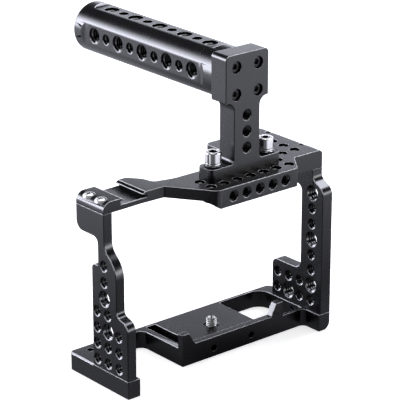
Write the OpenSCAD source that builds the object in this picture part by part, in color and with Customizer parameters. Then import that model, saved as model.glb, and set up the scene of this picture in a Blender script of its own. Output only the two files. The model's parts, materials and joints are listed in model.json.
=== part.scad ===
// Camera cage with a top handle: a base tray, two side arms, a top plate with
// a cold shoe, and a drilled round grip on a T-shaped post.
// Drawn from the tray's left front bottom corner: X to the right, Y from the
// lens side to the back, Z up. at_origin() then moves every node so that the
// camera screw's axis, at the tray floor, is the origin.

/* [Base plate] */
// Width of the tray, from its left side to the right arm's inner face
tray_w = 97.6; // [94:0.1:106]
// Depth of the tray, front to back
tray_d = 42.2; // [40:0.1:48]
// Thickness of the base plate
base_t = 11; // [10:0.1:14]
// Gap for the fingers between the left foot and the tray
finger_gap = 43; // [38:0.1:52]
// Width of the left foot
foot_w = 8.9; // [7.5:0.1:12]
// Left foot behind the arm: bevel of its upper outer edge, width and height
heel_bevel_w = 0.6; // [0.4:0.1:2]
heel_bevel_h = 1; // [0.6:0.1:3]
// How far the feet reach in front of the tray
foot_reach = 14.1; // [13:0.1:18]
// Depth of the bar that joins the left foot to the tray
bar_d = 3.9; // [3.5:0.1:8]
// Blend between the left foot and that bar
bar_blend = 16; // [14:0.5:18]
// Blend between the bar and the tray
tray_blend = 5; // [2:0.5:8]
// Rounding of the right foot's lower outer edge
foot_round = 4.8; // [2:0.1:6]

/* [Tray] */
// Front lip: depth
lip_d = 4.6; // [3.5:0.1:7]
// Front lip: height over the tray floor
lip_h = 1.7; // [1:0.1:3]
// Stop tabs: height over the tray floor
tab_h = 9.4; // [6:0.1:14]
// Left stop tab: width at its top
tab_left_w = 5; // [3:0.1:5.5]
// Left stop tab: run of its slope
tab_left_slope = 5; // [2:0.1:5.5]
// Right stop tab: place of its lower left corner
tab_right_x = 70.2; // [68:0.1:74]
// Right stop tab: width at its foot
tab_right_w = 9.3; // [8:0.1:12]
// Right stop tab: run of its slope
tab_right_slope = 3.9; // [3:0.1:5]
// Slot at the tray's left end: place and width
slot_x = 4.5; // [3:0.1:7]
slot_w = 7; // [5:0.1:10]
// Material left behind the slot and behind the battery opening
rear_wall = 2; // [1.5:0.1:3]
// Battery opening: place of its left edge
opening_x = 62.2; // [58:0.1:66]
// Battery opening: wall left beside the right arm
opening_wall = 1.1; // [1:0.1:2]
// Battery opening: corner radius at the back
opening_r = 8; // [3:0.5:10]

/* [Camera screw] */
// Place of the screw from the tray's left side
screw_x = 37.4; // [32:0.1:44]
// Place of the screw behind the tray's front
screw_y = 18; // [16:0.1:22]
// Diameter of the camera screw (quarter inch)
screw_d = 6.35; // [6.35]
// Height of the stud over the tray floor
stud_h = 4.7; // [4:0.1:6]
// Head of the camera screw: diameter and thickness
head_d = 14; // [12:0.5:16]
head_t = 3; // [2.4:0.1:3.4]
// Washer over the head: thickness
screw_washer_t = 0.6; // [0.5:0.1:0.9]
// Recess around the stud: diameter and depth
recess_d = 10; // [9.6:0.1:11.5]
recess_t = 1.5; // [1.4:0.1:2]

/* [Side arms] */
// Thickness of the left arm
arm_left_t = 6.2; // [5.4:0.1:7.5]
// Thickness of the right arm
arm_right_t = 7.8; // [6.4:0.1:9]
// Clear height from the tray floor to the underside of the top plate
bay_h = 91.6; // [90:0.1:104]
// Depth of the left arm's foot, behind the tray's front
arm_left_d = 18.3; // [18:0.1:24]
// Depth of the right arm's foot, behind the tray's front
arm_right_d = 30.3; // [29.2:0.1:34]
// Left arm: front of its waist, in front of the tray's front
waist_reach = 3.9; // [3:0.1:6]
// Left arm: back of its waist, behind the tray's front
waist_back = 12.5; // [11.4:0.1:15]
// Left arm: height of the pad under the top plate
pad_h = 15.2; // [12:0.1:18]
// Left arm: from the top plate down to the rear shoulder
waist_drop = 32.5; // [29:0.1:34]
// Right arm: back of its column, behind the tray's front
column_back = 4.8; // [3:0.1:8]
// Right arm: height of the beam under the top plate
beam_h = 11.9; // [11:0.1:16]
// Height of the left arm's front step over the base
step_h = 35.9; // [35.6:0.1:42]
// Height of the right arm's rear block over the base
block_h = 24.5; // [22.5:0.1:30]

/* [Thread grid] */
// Distance from hole to hole
pitch = 10; // [9.8:0.1:10.2]
// Hole of the quarter inch thread, diameter
small_d = 6.4; // [6.3:0.05:6.6]
// Hole of the three eighths inch thread, diameter
large_d = 9.6; // [9.3:0.05:9.8]

/* [Top plate] */
// Thickness over the bay
plate_t = 11.4; // [9.4:0.1:13]
// Thickness of the neck and the left end
neck_t = 6.9; // [6.2:0.1:7.6]
// Front edge of the left end and the neck
neck_y = 6.7; // [6:0.1:8]
// Depth of the left end
end_d = 25.6; // [23:0.1:28]
// Front edge of the platform, in front of the tray
platform_reach = 19.6; // [19:0.1:23]
// Reach of the rear wing behind the tray
wing_reach = 6.8; // [4:0.1:12]
// Rounding of the long edge at the left end
end_round = 5.5; // [3:0.1:6]
// Rounding of the long edge at the right end
right_round = 3; // [1:0.1:4]
// Width of the rear wing
wing_w = 47.5; // [44:0.1:50]

/* [Cold shoe] */
// Distance of the shoe's middle from the plate's left end
shoe_x = 22; // [20:0.1:26]
// Slot under the lips: width and height
shoe_w = 18.6; // [18.6]
shoe_h = 2; // [2:0.05:2.1]
// Opening between the lips
shoe_gap = 13.2; // [12.5:0.1:13.6]
// Floor under the shoe, at its sides
shoe_floor = 3.3; // [2.8:0.1:3.4]
// Rise of the arch under the shoe
arch_h = 0.3; // [0:0.1:1.6]

/* [Handle] */
// Middle of the post from the tray's left side
post_x = 42.3; // [41:0.1:44]
// Front face of the post, in front of the tray's front
post_reach = 7.6; // [7:0.1:8]
// Thickness of the post
post_t = 13; // [12.6:0.1:15]
// Width of the post's foot
post_foot_w = 54; // [53:0.1:57]
// Height of the post's foot
post_foot_h = 7.7; // [6:0.1:10]
// Width of the post's neck
post_neck_w = 19.4; // [16:0.1:20]
// Height of the grip's axis over the plate
grip_h = 57.65; // [56:0.05:70]
// Diameter of the grip
grip_d = 31; // [29:0.1:34]
// Length of the grip
grip_l = 132.7; // [126:0.1:150]
// Distance of the grip's flats from its axis
flat_r = 14.1; // [13.6:0.1:14.4]
// Distance between holes along the grip
grip_pitch = 11.57; // [11.2:0.01:12]
// Spacing of the grip screws
grip_screw_gap = 16.4; // [15:0.1:17]

/* [Handle bolts] */
// Distance between the two bolts
bolt_gap = 40; // [39:0.1:41]
// Bolt: head diameter and height
bolt_head_d = 9.5; // [9:0.1:10]
bolt_head_h = 6.35; // [5.5:0.05:8]
// Flat washer: diameter and thickness
washer_d = 10.7; // [10.3:0.1:12]
washer_t = 1; // [0.8:0.1:1.4]
// Lock washer: thickness
lock_t = 1.4; // [1:0.1:1.8]

/* [Fits] */
// Clearance between turning or sliding faces
run = 0.05; // [0.03:0.01:0.08]
// Radial clearance of a screw in its thread
thread_play = 0.05; // [0.03:0.01:0.08]

/* [Hidden] */
$fn = 48;
eps = 1;                          // how far a cut runs past a face
black = [0.13, 0.13, 0.14];
steel = [0.80, 0.80, 0.78];
dark_steel = [0.20, 0.20, 0.21];

// Places shared by the pieces
left_out = -finger_gap - foot_w;  // outer face of the left foot and arm
left_in = left_out + arm_left_t;
right_in = tray_w;
right_out = tray_w + arm_right_t;
back = tray_d;                    // back edge of the base
heel_y = arm_left_d + 0.7;        // front end of the left foot's bevel
wing_back = tray_d + wing_reach;
feet_front = -foot_reach;
waist_y = -waist_reach;
plate_z = base_t + bay_h;         // underside of the platform
top_z = plate_z + plate_t;
neck_z = top_z - neck_t;          // underside of the neck
platform_y = -platform_reach;
extension_y = -4.7;               // front edge beside the right arm
neck_back = 13.8;                 // rear edge of the neck
ramp_x = post_x - 50.4;           // plan: where the neck widens to the platform
platform_left = post_x - 32;      // plan: the platform's left front corner
platform_right = post_x + 29.2;   // plan: the platform's right front corner
shoulder_x = right_out - 22.9;    // plan: where the plate narrows to the right arm
hollow_x = post_x - 37.3;         // plan: start of the hollow behind the neck
step_x = post_x - 29.4;           // underside: where the thick platform begins
step_run = 7.2;                   // underside: run of the slope to the neck
s_low = neck_z - 30.2;            // left arm: lower and upper end of its S
s_high = neck_z - 21.3;
post_front = -post_reach;
post_back = post_front + post_t;
post_mid = (post_front + post_back) / 2;
foot_top = top_z + post_foot_h;
axis_z = top_z + grip_h;
grip_mid = post_back + grip_l / 2;
head_w = grip_d + 1.3;            // head of the post, around the grip
head_top = axis_z + grip_d / 2 + 0.35;
head_bottom = axis_z - 12.3;
post_rows = [for (i = [0:2]) foot_top + 8.2 + i * pitch];

// Rows and columns of the thread grid
left_cols = [for (i = [-1:1]) 4.25 + i * pitch];
left_rows = [for (i = [0:3]) base_t + 5.25 + i * pitch];
left_upper_y = 7.2;
left_upper_rows = [for (i = [0:2]) base_t + 44.7 + i * pitch];
right_cols = [for (i = [0:3]) -4.6 + i * pitch];
right_rows = [for (i = [0:7]) base_t + 6.8 + i * pitch];
front_row_x = [for (i = [-2:2]) post_x + i * pitch];
front_row_z = top_z - 5.7;
plate_row_x = [for (i = [-3:3]) post_x + i * pitch];
wing_x = post_x + 5 * pitch;
wing_rows = [for (i = [0:2]) 6 + i * pitch];

// Small screws: shank, head and socket
foot_screw = [2.5, 4.5, 2.5];     // thread, head diameter, head height
foot_drop = 0.5;                  // how deep its head lies in the underside
pan_screw = [3, 6.4, 2.4];
edge_screw = [2.5, 4, 2.2];
grip_screw = [4, 6.8, 4];
grip_drop = 1.6;                  // how deep its head lies in the post
grip_tap = 10;                    // depth of its thread in the grip
foot_screw_x = [(left_out + left_in) / 2, right_in + 2];
left_foot_y = [feet_front + 2.9, 9.25];
right_foot_y = [feet_front + 3.4, 0.4];
left_top_y = [neck_y + 6.9, neck_y + 17.8];
left_top_x = left_in - 2.9;
right_top_x = right_out - 3.2;
right_top_y = [wing_back - 39, wing_back - 9];
edge_screw_drop = 0.7;            // right screws: heads below the plate's face
pan_seat = top_z - 1.9;           // left screws: where their heads rest
bite = 7.5;                       // how far a screw goes into the next piece
tap = bite + 1;                   // depth of the threads that take them
clear = 0.4;                      // how much wider a passage is than its screw
seat_clear = 0.5;                 // how much wider a seat is than its head
bolt_x = [post_x - bolt_gap / 2, post_x + bolt_gap / 2];

// Camera screw, from the base's underside up
head_z = 0.5;
head_seat = head_z + head_t + run + screw_washer_t;
recess_z = base_t - recess_t;
clip_t = 0.7;
clip_groove_d = screw_d - 1.15;

// Holes in the base
tripod_depth = 8;
tripod_small_x = screw_x - 17;
tripod_large_x = screw_x + 16.5;
front_hole_x = [24.2, 53.8];
front_hole_d = 4.2;
front_hole_depth = 8;
wall_hole = [10.7, base_t * 0.7]; // set screw in the battery opening: Y and Z
wall_hole_d = 2.8;
wall_hole_depth = 3;
foot_hole = [left_out + foot_w + 2, back - 6.2];
platform_hole_depth = 4.5;        // threads in the platform's front

// ---------- outline helpers ----------

function unit(v) = v / norm(v);

// One rounded corner of an outline: b with radius r, between a and c.
function corner(a, b, c, r, n) =
    let (u = unit(a - b), v = unit(c - b),
         half = acos(max(-1, min(1, u * v))) / 2)
    r <= 0 || half > 89.5 ? [b] :
    let (s = b + u * r / tan(half), m = b + unit(u + v) * r / sin(half),
         start = atan2(s[1] - m[1], s[0] - m[0]),
         turn = (u[0] * v[1] - u[1] * v[0] > 0 ? -1 : 1) * (180 - 2 * half))
    [for (i = [0:n]) m + r * [cos(start + turn * i / n), sin(start + turn * i / n)]];

// An outline from points [x, y, radius].
function outline(p, n = 6) =
    let (k = len(p))
    [for (i = [0:k - 1])
        let (a = p[(i + k - 1) % k], b = p[i], c = p[(i + 1) % k])
        each corner([a[0], a[1]], [b[0], b[1]], [c[0], c[1]], b[2], n)];

// ---------- building helpers ----------

module at_origin() {
    translate([-screw_x, -screw_y, -base_t]) children();
}

// A plan outline lifted to z.
module slab(p, z, h) {
    translate([0, 0, z]) linear_extrude(h) polygon(outline(p));
}

// A side outline, in Y and Z, run along X from x.
module side_slab(p, x, t) {
    translate([x, 0, 0]) rotate([90, 0, 90]) linear_extrude(t) polygon(outline(p));
}

module hole_z(x, y, z, h, d) {
    translate([x, y, z]) cylinder(h = h, d = d);
}

module hole_x(x, y, z, h, d) {
    translate([x, y, z]) rotate([0, 90, 0]) cylinder(h = h, d = d);
}

// Runs towards +Y.
module hole_y(x, y, z, h, d) {
    translate([x, y, z]) rotate([-90, 0, 0]) cylinder(h = h, d = d);
}

// A ring with a bore through it.
module ring(od, id, t) {
    difference() {
        cylinder(h = t, d = od);
        translate([0, 0, -eps]) cylinder(h = t + 2 * eps, d = id);
    }
}

// Screw with its head's top at the origin, pointing down, hex or cross socket.
module screw(size, length, socket = "hex") {
    d = size[0];
    head = size[1];
    h = size[2];
    difference() {
        union() {
            translate([0, 0, -h]) cylinder(h = h, d = head);
            translate([0, 0, -h - length]) cylinder(h = length + h / 2, d = d);
        }
        if (socket == "hex")
            translate([0, 0, -h / 2]) cylinder(h = h, d = head * 0.55, $fn = 6);
        else
            for (a = [0, 90])
                rotate([0, 0, a])
                    translate([-head * 0.3, -head * 0.07, -h * 0.55])
                        cube([head * 0.6, head * 0.14, h]);
    }
}

// ---------- base plate ----------

wall_in = right_in - opening_wall; // left side of the right foot
base_outline = [
    [left_out, feet_front, 0], [left_out + foot_w, feet_front, 0],
    [left_out + foot_w, back - bar_d, bar_blend], [0, back - bar_d, tray_blend],
    [0, 0, 0], [wall_in, 0, 3.5], [wall_in, feet_front, 0],
    [right_out, feet_front, 0], [right_out, back, 3.5], [left_out, back, 3]];

opening_outline = [
    [opening_x, lip_d, 0], [wall_in, lip_d, 2], [wall_in, back - rear_wall, opening_r],
    [opening_x, back - rear_wall, 1.5]];

slot_outline = [
    [slot_x, lip_d + 1.4, 1], [slot_x + slot_w, lip_d + 1.4, 1],
    [slot_x + slot_w, back - rear_wall, 1], [slot_x, back - rear_wall, 1]];

// Front lip with a stop tab at each end, seen from the front.
lip_outline = [
    [0, base_t - eps, 0], [0, base_t + tab_h, 0.6], [tab_left_w, base_t + tab_h, 0.6],
    [tab_left_w + tab_left_slope, base_t + lip_h, 1.5], [tab_right_x, base_t + lip_h, 0.4],
    [tab_right_x + tab_right_slope * 0.25, base_t + tab_h * 0.45, 1],
    [tab_right_x + tab_right_slope, base_t + tab_h, 0.6],
    [tab_right_x + tab_right_w, base_t + tab_h, 0.8],
    [tab_right_x + tab_right_w, base_t - eps, 0]];

module base_plate() {
    wall_x = tab_right_x + tab_right_w;
    color(black) at_origin() difference() {
        union() {
            slab(base_outline, 0, base_t);
            translate([0, lip_d, 0]) rotate([90, 0, 0])
                linear_extrude(lip_d) polygon(outline(lip_outline));
        }
        slab(slot_outline, -eps, base_t + 2 * eps);
        slab(opening_outline, -eps, base_t + 2 * eps);
        // the front wall is thinner beside the right tab
        translate([wall_x, lip_d / 2, -eps])
            cube([wall_in - wall_x, lip_d / 2 + eps, base_t + 2 * eps]);
        // camera screw: stud, recess and head
        hole_z(screw_x, screw_y, -eps, base_t + 2 * eps, screw_d + 2 * thread_play);
        hole_z(screw_x, screw_y, recess_z, recess_t + eps, recess_d);
        hole_z(screw_x, screw_y, -eps, head_seat + eps, head_d + 1);
        // tripod threads, blind from below
        hole_z(tripod_small_x, screw_y, -eps, tripod_depth + eps, small_d);
        hole_z(tripod_large_x, screw_y, -eps, tripod_depth + eps, large_d);
        // small threads in the front and in the opening's right wall
        for (x = front_hole_x)
            hole_y(x, -eps, base_t / 2, front_hole_depth + eps, front_hole_d);
        hole_x(wall_in - eps, wall_hole[0], wall_hole[1], wall_hole_depth + eps, wall_hole_d);
        // through hole in the left foot
        hole_z(foot_hole[0], foot_hole[1], -eps, base_t + 2 * eps, front_hole_d);
        round_foot();
        bevel_heel();
        foot_screw_holes(foot_screw_x[0], left_foot_y);
        foot_screw_holes(foot_screw_x[1], right_foot_y);
    }
}

// Takes the upper outer edge off the left foot, behind the arm.
module bevel_heel() {
    translate([left_out, back + eps, base_t]) rotate([90, 0, 0])
        linear_extrude(back - heel_y + eps)
            polygon([[-eps, eps], [-eps, -heel_bevel_h], [0, -heel_bevel_h],
                     [heel_bevel_w, 0], [heel_bevel_w, eps]]);
}

// Takes the lower outer edge off the right foot.
module round_foot() {
    l = back + foot_reach + 2 * eps;
    translate([right_out - foot_round, feet_front - eps, foot_round])
        rotate([-90, 0, 0]) difference() {
            cube([foot_round + eps, foot_round + eps, l]);
            translate([0, 0, -eps]) cylinder(h = l + 2 * eps, r = foot_round);
        }
}

// Counterbore and passage for a foot screw, from the underside.
module foot_screw_holes(x, ys) {
    for (y = ys) {
        hole_z(x, y, -eps, foot_drop + foot_screw[2] + eps, foot_screw[1] + seat_clear);
        hole_z(x, y, -eps, base_t + 2 * eps, foot_screw[0] + clear);
    }
}

// ---------- side arms ----------

left_arm_outline = [
    [feet_front, base_t, 0], [feet_front, base_t + step_h - 1.5, 6],
    [waist_y, base_t + step_h + 1.5, 4], [waist_y, s_low, 15],
    [neck_y, s_high, 10], [neck_y, neck_z, 0],
    [neck_y + end_d, neck_z, 0], [neck_y + end_d, neck_z - pad_h, 5.5],
    [waist_back, neck_z - pad_h, 4.2], [waist_back, neck_z - waist_drop, 0.8],
    [arm_left_d, neck_z - waist_drop, 2.6], [arm_left_d, base_t, 0]];

module left_arm() {
    color(black) at_origin() difference() {
        side_slab(left_arm_outline, left_out, arm_left_t);
        for (i = [0:2], j = [0:3])
            if (i > 0 || j < 3)
                hole_x(left_out - eps, left_cols[i], left_rows[j], arm_left_t + 2 * eps,
                       i == 1 && j == 2 ? large_d : small_d);
        for (j = [0:2])
            hole_x(left_out - eps, left_upper_y, left_upper_rows[j],
                   arm_left_t + 2 * eps, j == 0 ? large_d : small_d);
        for (y = left_foot_y)
            hole_z(foot_screw_x[0], y, base_t - eps, tap + eps,
                   foot_screw[0] + 2 * thread_play);
        for (y = left_top_y)
            hole_z(left_top_x, y, neck_z - tap, tap + eps, pan_screw[0] + 2 * thread_play);
    }
}

right_arm_outline = [
    [feet_front, base_t, 0], [feet_front, plate_z - 11.3, 6],
    [extension_y, plate_z - 6.2, 5], [extension_y, plate_z, 0],
    [wing_back - 2, plate_z, 0], [wing_back - 2, plate_z - beam_h, 5.5],
    [column_back, plate_z - beam_h, 4.2], [column_back, base_t + block_h, 5.5],
    [arm_right_d, base_t + block_h, 4], [arm_right_d, base_t, 0]];

module right_arm() {
    color(black) at_origin() difference() {
        side_slab(right_arm_outline, right_in, arm_right_t);
        for (j = [0:7])
            hole_x(right_in - eps, right_cols[0], right_rows[j], arm_right_t + 2 * eps,
                   j == 1 || j == 4 || j == 7 ? large_d : small_d);
        for (i = [1:3], j = [0:1])
            hole_x(right_in - eps, right_cols[i], right_rows[j], arm_right_t + 2 * eps,
                   i == 2 && j == 0 ? large_d : small_d);
        for (y = right_foot_y)
            hole_z(foot_screw_x[1], y, base_t - eps, tap + eps,
                   foot_screw[0] + 2 * thread_play);
        for (y = right_top_y)
            hole_z(right_top_x, y, plate_z - tap, tap + eps,
                   edge_screw[0] + 2 * thread_play);
    }
}

// ---------- top plate ----------

shoe_mid = left_out + shoe_x;
end_back = neck_y + end_d;

plate_outline = [
    [left_out, neck_y, 0.4], [ramp_x, neck_y, 2],
    [platform_left, platform_y, 6], [platform_right, platform_y, 1],
    [shoulder_x, extension_y, 1.5], [right_out, extension_y, 0.4],
    [right_out, wing_back, 3], [right_out - wing_w, wing_back, 4],
    [right_out - wing_w, neck_back, 8], [hollow_x, neck_back, 25],
    [shoe_mid + 22.3, neck_back + 3.2, 3.5], [shoe_mid + 20.7, neck_back + 10.8, 4],
    [shoe_mid + 14.4, end_back + 0.4, 2.5], [shoe_mid, end_back, 0],
    [left_out, end_back, 0.4]];

// What is cut away below the neck, seen from the front.
neck_relief = [
    [left_out - eps, plate_z - eps, 0], [step_x - 0.8, plate_z - eps, 0],
    [step_x, plate_z, 1], [step_x - step_run, neck_z, 2.5],
    [shoe_mid + 22, neck_z, 40], [shoe_mid + 5, neck_z + arch_h, 40],
    [shoe_mid - 9, neck_z, 40], [left_out - eps, neck_z, 0]];

// Cold shoe, seen from the front: slot, opening and its bevelled lips.
shoe_bevel_w = 2.1;
shoe_bevel_t = 1.3;
shoe_z = neck_z + shoe_floor;
shoe_cut = [
    [-shoe_w / 2, shoe_z], [shoe_w / 2, shoe_z], [shoe_w / 2, shoe_z + shoe_h],
    [shoe_gap / 2, shoe_z + shoe_h], [shoe_gap / 2, top_z - shoe_bevel_t],
    [shoe_gap / 2 + shoe_bevel_w, top_z], [shoe_gap / 2 + shoe_bevel_w, top_z + eps],
    [-shoe_gap / 2 - shoe_bevel_w, top_z + eps], [-shoe_gap / 2 - shoe_bevel_w, top_z],
    [-shoe_gap / 2, top_z - shoe_bevel_t], [-shoe_gap / 2, shoe_z + shoe_h],
    [-shoe_w / 2, shoe_z + shoe_h]];

module top_plate() {
    color(black) at_origin() difference() {
        slab(plate_outline, plate_z, plate_t);
        translate([0, wing_back + eps, 0]) rotate([90, 0, 0])
            linear_extrude(wing_back + platform_reach + 2 * eps)
                polygon(outline(neck_relief));
        translate([shoe_mid, end_back + 2 * eps, 0]) rotate([90, 0, 0])
            linear_extrude(end_d + 4 * eps) polygon(shoe_cut);
        edge_round(left_out + end_round, end_round, 1);
        edge_round(right_out - right_round, right_round, -1);
        // threads in the platform's front
        for (x = front_row_x)
            hole_y(x, platform_y - eps, front_row_z, platform_hole_depth + eps, small_d);
        // a row of threads in front of the post, and one at its ends and bolts
        for (x = plate_row_x)
            hole_z(x, post_mid - pitch, plate_z - eps, plate_t + 2 * eps, small_d);
        for (x = concat([plate_row_x[0], plate_row_x[6]], bolt_x))
            hole_z(x, post_mid, plate_z - eps, plate_t + 2 * eps, small_d);
        // threads in the rear wing
        hole_z(wing_x - pitch, wing_rows[0], plate_z - eps, plate_t + 2 * eps, small_d);
        for (y = wing_rows)
            hole_z(wing_x, y, plate_z - eps, plate_t + 2 * eps, small_d);
        // seats of the screws into the arms
        for (y = left_top_y) {
            hole_z(left_top_x, y, pan_seat, 10, pan_screw[1] + 0.8);
            hole_z(left_top_x, y, plate_z - eps, plate_t, pan_screw[0] + clear);
        }
        for (y = right_top_y) {
            hole_z(right_top_x, y, top_z - edge_screw[2] - edge_screw_drop, 10,
                   edge_screw[1] + seat_clear);
            hole_z(right_top_x, y, plate_z - eps, plate_t, edge_screw[0] + clear);
        }
    }
}

// Takes the corner off a long top edge whose rounding is centred at x.
module edge_round(x, r, side) {
    run_y = wing_back + platform_reach + 2 * eps;
    translate([x, platform_y - eps, top_z - r]) rotate([-90, 0, 0])
        difference() {
            translate([side > 0 ? -r - eps : 0, -r - eps, 0])
                cube([r + eps, r + eps, run_y]);
            translate([0, 0, -eps]) cylinder(h = run_y + 2 * eps, r = r);
        }
}

// ---------- handle ----------

post_outline = [
    [-post_foot_w / 2, top_z, 0], [post_foot_w / 2, top_z, 0],
    [post_foot_w / 2, foot_top, 0.4], [post_neck_w / 2, foot_top, 2.5],
    [post_neck_w / 2, head_bottom, 5.5], [head_w / 2, head_bottom, 0.6],
    [head_w / 2, head_top, 3], [-head_w / 2, head_top, 3],
    [-head_w / 2, head_bottom, 0.6], [-post_neck_w / 2, head_bottom, 5.5],
    [-post_neck_w / 2, foot_top, 2.5], [-post_foot_w / 2, foot_top, 0.4]];

// Where the grip screws sit, from the grip's axis.
screw_spots = [for (i = [-1, 1], k = [-1, 1]) [i, k] * grip_screw_gap / 2];

module handle_post() {
    color(black) at_origin() translate([post_x, 0, 0]) difference() {
        translate([0, post_back, 0]) rotate([90, 0, 0])
            linear_extrude(post_t) polygon(outline(post_outline));
        // rounded ends of the foot
        for (s = [-1, 1], f = [0, 1])
            foot_corner(s, f);
        for (z = post_rows)
            hole_y(0, post_front - eps, z, post_t + 2 * eps, small_d);
        for (p = screw_spots) {
            hole_y(p[0], post_front - eps, axis_z + p[1], grip_screw[2] + grip_drop + eps,
                   grip_screw[1] + seat_clear);
            hole_y(p[0], post_front - eps, axis_z + p[1], post_t + 2 * eps,
                   grip_screw[0] + clear);
        }
        for (s = [-1, 1])
            hole_z(s * bolt_gap / 2, post_mid, top_z - eps, post_foot_h + 2 * eps,
                   small_d + clear);
    }
}

// Takes one upright corner off the post's foot.
module foot_corner(s, f) {
    r = 3.5;
    y = f == 0 ? post_front + r : post_back - r;
    translate([s * (post_foot_w / 2 - r), y, top_z - eps]) difference() {
        translate([s > 0 ? 0 : -r - eps, f == 0 ? -r - eps : 0, 0])
            cube([r + eps, r + eps, post_foot_h + 2 * eps]);
        translate([0, 0, -eps]) cylinder(h = post_foot_h + 4 * eps, r = r);
    }
}

module handle_grip() {
    end_r = 2;
    scoop_r = 5.3;                // radius of the cutter that ends each flat
    flat_l = 8 * grip_pitch + 16;
    color(black) at_origin() translate([post_x, post_back, axis_z]) difference() {
        rotate([-90, 0, 0]) rotate_extrude($fn = 96)
            polygon(outline([[0, 0, 0], [grip_d / 2, 0, 0.3], [grip_d / 2, grip_l, end_r],
                             [0, grip_l, 0]]));
        for (a = [0, 90, 180, 270]) rotate([0, a, 0]) {
            translate([-grip_d, (grip_l - flat_l) / 2, flat_r])
                cube([2 * grip_d, flat_l, grip_d]);
            for (y = [(grip_l - flat_l) / 2, (grip_l + flat_l) / 2])
                hole_x(-grip_d, y, flat_r + scoop_r, 2 * grip_d, 2 * scoop_r);
        }
        for (a = [0, 90], i = [-4:4])
            rotate([0, a, 0])
                hole_z(0, grip_l / 2 + i * grip_pitch, -grip_d, 2 * grip_d,
                       i % 2 == 0 ? large_d : small_d);
        for (p = screw_spots)
            hole_y(p[0], -eps, p[1], grip_tap + eps, grip_screw[0] + 2 * thread_play);
    }
}

module grip_screws() {
    length = post_t - grip_drop - grip_screw[2] + grip_tap - 1;
    color(dark_steel) at_origin()
        for (p = screw_spots)
            translate([post_x + p[0], post_front + grip_drop, axis_z + p[1]])
                rotate([90, 0, 0]) screw(grip_screw, length);
}

// ---------- handle bolts ----------

module handle_bolt(i) {
    seat = foot_top + washer_t + lock_t + run;
    socket_d = 5.8;               // over the corners of the hex
    socket_depth = 3.2;
    color(steel) at_origin() translate([bolt_x[i], post_mid, seat]) difference() {
        union() {
            rotate_extrude()
                polygon(outline([[0, 0, 0], [bolt_head_d / 2, 0, 0.2],
                                 [bolt_head_d / 2, bolt_head_h, 0.7], [0, bolt_head_h, 0]]));
            translate([0, 0, -(seat - plate_z) + 0.5])
                cylinder(h = seat - plate_z, d = small_d - 2 * thread_play);
        }
        translate([0, 0, bolt_head_h - socket_depth])
            cylinder(h = socket_depth + eps, d = socket_d, $fn = 6);
    }
}

module handle_bolt_left() {
    handle_bolt(0);
}

module handle_bolt_right() {
    handle_bolt(1);
}

module flat_washer(i) {
    color(steel) at_origin() translate([bolt_x[i], post_mid, foot_top])
        ring(washer_d, small_d + clear, washer_t);
}

module flat_washer_left() {
    flat_washer(0);
}

module flat_washer_right() {
    flat_washer(1);
}

// Split ring under the bolt's head.
module lock_washer(i) {
    color(steel) at_origin()
        translate([bolt_x[i], post_mid, foot_top + washer_t]) difference() {
            ring(bolt_head_d + 0.5, small_d + clear, lock_t);
            translate([0, -0.5, -eps]) cube([bolt_head_d, 1, lock_t + 2 * eps]);
        }
}

module lock_washer_left() {
    lock_washer(0);
}

module lock_washer_right() {
    lock_washer(1);
}

// ---------- camera screw ----------

module camera_screw() {
    stud_top = base_t + stud_h;
    slot_w = 1;
    slot_t = 2.6;
    color(steel) at_origin() translate([screw_x, screw_y, 0]) difference() {
        union() {
            translate([0, 0, head_z]) cylinder(h = head_t, d = head_d);
            rotate_extrude()
                polygon(outline([[0, head_z, 0], [screw_d / 2, head_z, 0],
                                 [screw_d / 2, stud_top, 0.6], [0, stud_top, 0]]));
        }
        translate([0, 0, recess_z + run])
            ring(screw_d + 2, clip_groove_d, clip_t + 2 * run);
        // slot across the head, and slot across the stud
        translate([-head_d, -0.8, -eps]) cube([2 * head_d, 1.6, head_z + 1.3 + eps]);
        rotate([0, 0, 50]) translate([-screw_d, -slot_w / 2, stud_top - slot_t])
            cube([2 * screw_d, slot_w, slot_t + eps]);
    }
}

module camera_screw_washer() {
    color(dark_steel) at_origin()
        translate([screw_x, screw_y, head_seat - screw_washer_t])
            ring(head_d - 2, screw_d + 0.6, screw_washer_t);
}

module camera_screw_clip() {
    color(dark_steel) at_origin()
        translate([screw_x, screw_y, recess_z + 2 * run]) difference() {
            ring(recess_d - 1, clip_groove_d + 0.1, clip_t);
            rotate([0, 0, -40]) translate([0, -1.2, -eps])
                cube([recess_d, 2.4, clip_t + 2 * eps]);
        }
}

// ---------- assembly screws ----------

module left_top_screws() {
    color(steel) at_origin()
        for (y = left_top_y)
            translate([left_top_x, y, pan_seat + pan_screw[2]])
                screw(pan_screw, pan_seat - neck_z + bite, "cross");
}

module right_top_screws() {
    color(dark_steel) at_origin()
        for (y = right_top_y)
            translate([right_top_x, y, top_z - edge_screw_drop])
                screw(edge_screw, plate_t - edge_screw[2] - edge_screw_drop + bite);
}

module foot_screws(x, ys) {
    color(dark_steel) at_origin()
        for (y = ys)
            translate([x, y, foot_drop]) mirror([0, 0, 1])
                screw(foot_screw, base_t - foot_screw[2] - foot_drop + bite);
}

module left_foot_screws() {
    foot_screws(foot_screw_x[0], left_foot_y);
}

module right_foot_screws() {
    foot_screws(foot_screw_x[1], right_foot_y);
}

base_plate();
left_arm();
right_arm();
top_plate();
handle_post();
handle_grip();
grip_screws();
handle_bolt_left();
handle_bolt_right();
lock_washer_left();
lock_washer_right();
flat_washer_left();
flat_washer_right();
camera_screw();
camera_screw_washer();
camera_screw_clip();
left_top_screws();
right_top_screws();
left_foot_screws();
right_foot_screws();
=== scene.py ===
"""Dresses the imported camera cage: chamfered, bead-blasted black metal, tapped
threads, plated bolts and screws, and a plain white studio.

Everything is in metres in the cage's own frame: the camera screw's axis at the
tray floor is the origin, +X runs to the tall arm and +Y to the handle's end.
Sizes in the settings and tables below are in millimetres.
"""

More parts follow.
